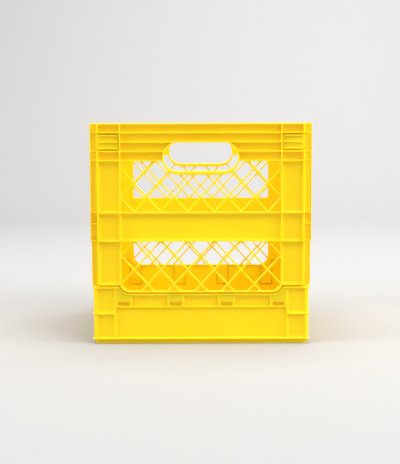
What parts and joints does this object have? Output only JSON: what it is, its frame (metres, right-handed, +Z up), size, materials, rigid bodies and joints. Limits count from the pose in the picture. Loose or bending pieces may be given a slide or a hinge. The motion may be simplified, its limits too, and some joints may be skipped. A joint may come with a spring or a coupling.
{
  "type": "folding milk bottle crate",
  "caption": "Square folding crate with lattice walls, hand holes and sliding corner latches, hinged in a ribbed base tray.",
  "frame": {"origin": "middle of the crate's footprint, on the surface it stands on", "axes": "+Z up, -Y towards the front wall, +X towards the right wall seen from the front"},
  "size_m": [0.332, 0.332, 0.332],
  "materials": {
    "tray_plastic": "moulded, fine satin grain",
    "wall_plastic": "moulded, fine satin grain",
    "latch_plastic": "moulded, satin"
  },
  "bodies": {
    "tray": {"base_tray": "tray_plastic"},
    "left_wall": {"left_wall": "wall_plastic"},
    "right_wall": {"right_wall": "wall_plastic"},
    "back_wall": {"back_wall": "wall_plastic"},
    "front_wall": {"front_wall": "wall_plastic"},
    "front_left_latch": {"front_left_latch": "latch_plastic"},
    "front_right_latch": {"front_right_latch": "latch_plastic"},
    "back_left_latch": {"back_left_latch": "latch_plastic"},
    "back_right_latch": {"back_right_latch": "latch_plastic"}
  },
  "joints": [
    {"name": "left_wall_fold", "type": "hinge", "parent": "tray", "child": "left_wall", "pos_m": [-0.1579, 0, 0.024], "axis": [0, 1, 0], "range_deg": [0, 90]},
    {"name": "right_wall_fold", "type": "hinge", "parent": "tray", "child": "right_wall", "pos_m": [0.1579, 0, 0.0352], "axis": [0, -1, 0], "range_deg": [0, 90]},
    {"name": "back_wall_fold", "type": "hinge", "parent": "tray", "child": "back_wall", "pos_m": [0, 0.1579, 0.048], "axis": [1, 0, 0], "range_deg": [0, 90]},
    {"name": "front_wall_fold", "type": "hinge", "parent": "tray", "child": "front_wall", "pos_m": [0, -0.1579, 0.0604], "axis": [-1, 0, 0], "range_deg": [0, 90]},
    {"name": "front_left_latch_slide", "type": "slide", "parent": "front_wall", "child": "front_left_latch", "axis": [1, 0, 0], "range_m": [-0.005, 0]},
    {"name": "front_right_latch_slide", "type": "slide", "parent": "front_wall", "child": "front_right_latch", "axis": [-1, 0, 0], "range_m": [-0.005, 0]},
    {"name": "back_left_latch_slide", "type": "slide", "parent": "back_wall", "child": "back_left_latch", "axis": [1, 0, 0], "range_m": [-0.005, 0]},
    {"name": "back_right_latch_slide", "type": "slide", "parent": "back_wall", "child": "back_right_latch", "axis": [-1, 0, 0], "range_m": [-0.005, 0]}
  ]
}
